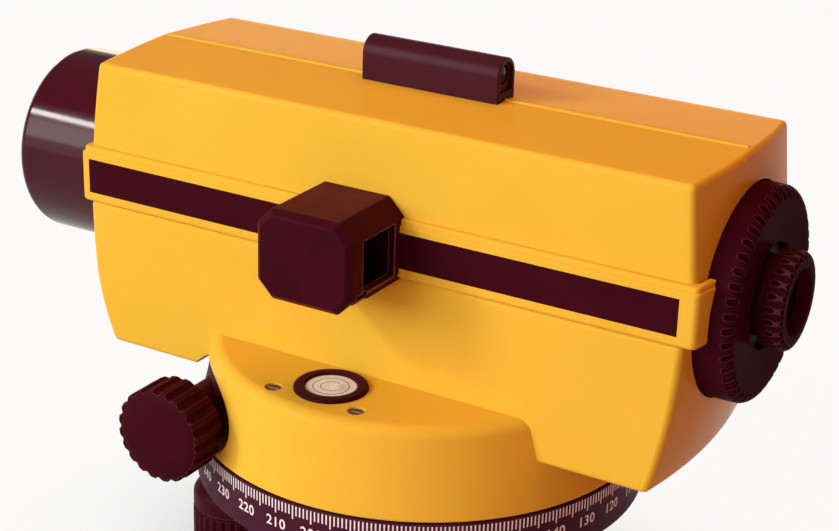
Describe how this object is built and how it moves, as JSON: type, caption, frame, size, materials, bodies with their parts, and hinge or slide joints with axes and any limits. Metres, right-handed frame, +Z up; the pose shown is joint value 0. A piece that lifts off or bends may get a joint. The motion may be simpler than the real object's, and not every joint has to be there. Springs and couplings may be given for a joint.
{
  "type": "automatic level",
  "caption": "Automatic surveying level with a yellow telescope housing on a drum, bubble-viewing prism, graduated circle, fine drive and three foot screws.",
  "frame": {"origin": "on the vertical axis, at the mouth of the tripod screw's bore on the underside of the base plate", "axes": "+X along the line of sight towards the objective, +Y to the instrument's left, +Z up along the vertical axis"},
  "size_m": [0.2046, 0.1216, 0.1469],
  "materials": {
    "yellow_paint": "satin enamel",
    "black_plastic": "fine grained",
    "gloss_black": "polished",
    "label_black": "satin film",
    "black_paint": "satin enamel",
    "circle_black": "matt enamel",
    "steel": "turned",
    "brass": "turned",
    "dark_anodised": "black anodised",
    "glass": "polished"
  },
  "bodies": {
    "base": {"base_plate": "black_paint", "spring_plate": "steel", "spring_plate_screws": "steel"},
    "tribrach": {"tribrach": "black_paint", "axis_bush": "brass", "foot_spindle_a": "steel", "foot_spindle_b": "steel"},
    "foot_knob_a": {"foot_knob_a": "black_plastic"},
    "foot_knob_b": {"foot_knob_b": "black_plastic"},
    "foot_knob_c": {"foot_knob_c": "black_plastic"},
    "foot_spindle_c": {"foot_spindle_c": "steel"},
    "circle": {"graduated_circle": "circle_black"},
    "alidade": {"lower_housing": "yellow_paint", "upper_cover": "yellow_paint", "label_strip_left": "label_black", "label_strip_right": "label_black", "cover_screws": "steel", "spindle": "steel", "spindle_nut": "steel", "spindle_screws": "steel", "tangent_bush_left": "black_plastic", "tangent_bush_right": "black_plastic", "objective_barrel": "gloss_black", "objective_lens": "glass", "objective_retainer": "dark_anodised", "guide_tube": "dark_anodised", "focus_bush": "brass", "compensator_frame": "dark_anodised", "front_prism": "glass", "rear_prism": "glass", "damper_magnets": "steel", "eyepiece_tube": "dark_anodised", "reticle_cell": "brass", "reticle": "glass", "reticle_screws": "steel", "reticle_cover": "black_plastic", "sight_body": "black_plastic", "sight_eye_lens": "glass", "sight_front_glass": "glass", "vial_cell": "black_plastic", "vial_glass": "glass", "vial_screws": "steel", "prism_housing": "black_plastic", "bubble_prism": "glass"},
    "tangent_screw": {"worm_shaft": "steel", "tangent_knob_left": "black_plastic", "tangent_knob_right": "black_plastic"},
    "worm_wheel": {"worm_wheel": "brass"},
    "focus_drive": {"focus_pinion": "brass", "focus_knob": "black_plastic"},
    "focus_carriage": {"focus_cell": "dark_anodised", "focus_lens": "glass", "focus_rack": "brass"},
    "pendulum": {"pendulum": "steel", "pendulum_prism": "glass", "suspension_tapes": "steel"},
    "eyepiece_cell": {"eyepiece_cell": "dark_anodised", "eyepiece_lenses": "glass"},
    "dioptre_ring": {"dioptre_ring": "black_plastic"}
  },
  "joints": [
    {"name": "tribrach_tilt", "type": "hinge", "parent": "base", "child": "tribrach", "pos_m": [0, 0.0235, 0.0042], "axis": [1, 0, 0], "range_deg": [-2.3, 2.3]},
    {"name": "foot_screw_a", "type": "hinge", "parent": "tribrach", "child": "foot_knob_a", "pos_m": [0.0407, 0.0235, 0.018], "axis": [0, 0, 1], "range_deg": [-1274, 1274]},
    {"name": "foot_screw_b", "type": "hinge", "parent": "tribrach", "child": "foot_knob_b", "pos_m": [-0.0407, 0.0235, 0.018], "axis": [0, 0, 1], "range_deg": [-1274, 1274]},
    {"name": "foot_screw_c", "type": "hinge", "parent": "tribrach", "child": "foot_knob_c", "pos_m": [0, -0.047, 0.018], "axis": [0, 0, 1], "range_deg": [-1274, 1274]},
    {"name": "foot_spindle_lift_c", "type": "slide", "parent": "tribrach", "child": "foot_spindle_c", "axis": [0, 0, 1], "range_m": [-0.00283, 0.00283]},
    {"name": "circle_turn", "type": "hinge", "parent": "tribrach", "child": "circle", "pos_m": [0, 0, 0.044], "axis": [0, 0, 1], "continuous": true},
    {"name": "alidade_turn", "type": "hinge", "parent": "tribrach", "child": "alidade", "pos_m": [0, 0, 0.05], "axis": [0, 0, 1], "continuous": true},
    {"name": "tangent_turn", "type": "hinge", "parent": "alidade", "child": "tangent_screw", "pos_m": [0.0379, 0, 0.0581], "axis": [0, 1, 0], "continuous": true},
    {"name": "worm_wheel_turn", "type": "hinge", "parent": "alidade", "child": "worm_wheel", "pos_m": [0, 0, 0.058], "axis": [0, 0, 1], "continuous": true},
    {"name": "focus_turn", "type": "hinge", "parent": "alidade", "child": "focus_drive", "pos_m": [0.039, -0.035, 0.0942], "axis": [0, 1, 0], "range_deg": [-92.92, 92.92]},
    {"name": "focus_slide", "type": "slide", "parent": "alidade", "child": "focus_carriage", "axis": [1, 0, 0], "range_m": [-0.009, 0.009]},
    {"name": "pendulum_swing", "type": "hinge", "parent": "alidade", "child": "pendulum", "pos_m": [-0.029, 0, 0.124], "axis": [0, 1, 0], "range_deg": [-0.5, 0.5]},
    {"name": "eyepiece_slide", "type": "slide", "parent": "alidade", "child": "eyepiece_cell", "axis": [1, 0, 0], "range_m": [-0.0015, 0.0015]},
    {"name": "dioptre_turn", "type": "hinge", "parent": "eyepiece_cell", "child": "dioptre_ring", "pos_m": [-0.093, 0, 0.1035], "axis": [1, 0, 0], "range_deg": [-90, 90]}
  ],
  "couplings": [
    {"joint": "foot_screw_c", "follows": "tribrach_tilt", "ratio": 553.71},
    {"joint": "foot_spindle_lift_c", "follows": "tribrach_tilt", "m_per_rad": 0.070498},
    {"joint": "worm_wheel_turn", "follows": "tangent_turn", "ratio": -0.013889},
    {"joint": "focus_turn", "follows": "focus_slide", "rad_per_m": 180.18},
    {"joint": "dioptre_turn", "follows": "eyepiece_slide", "rad_per_m": 1047.2}
  ]
}
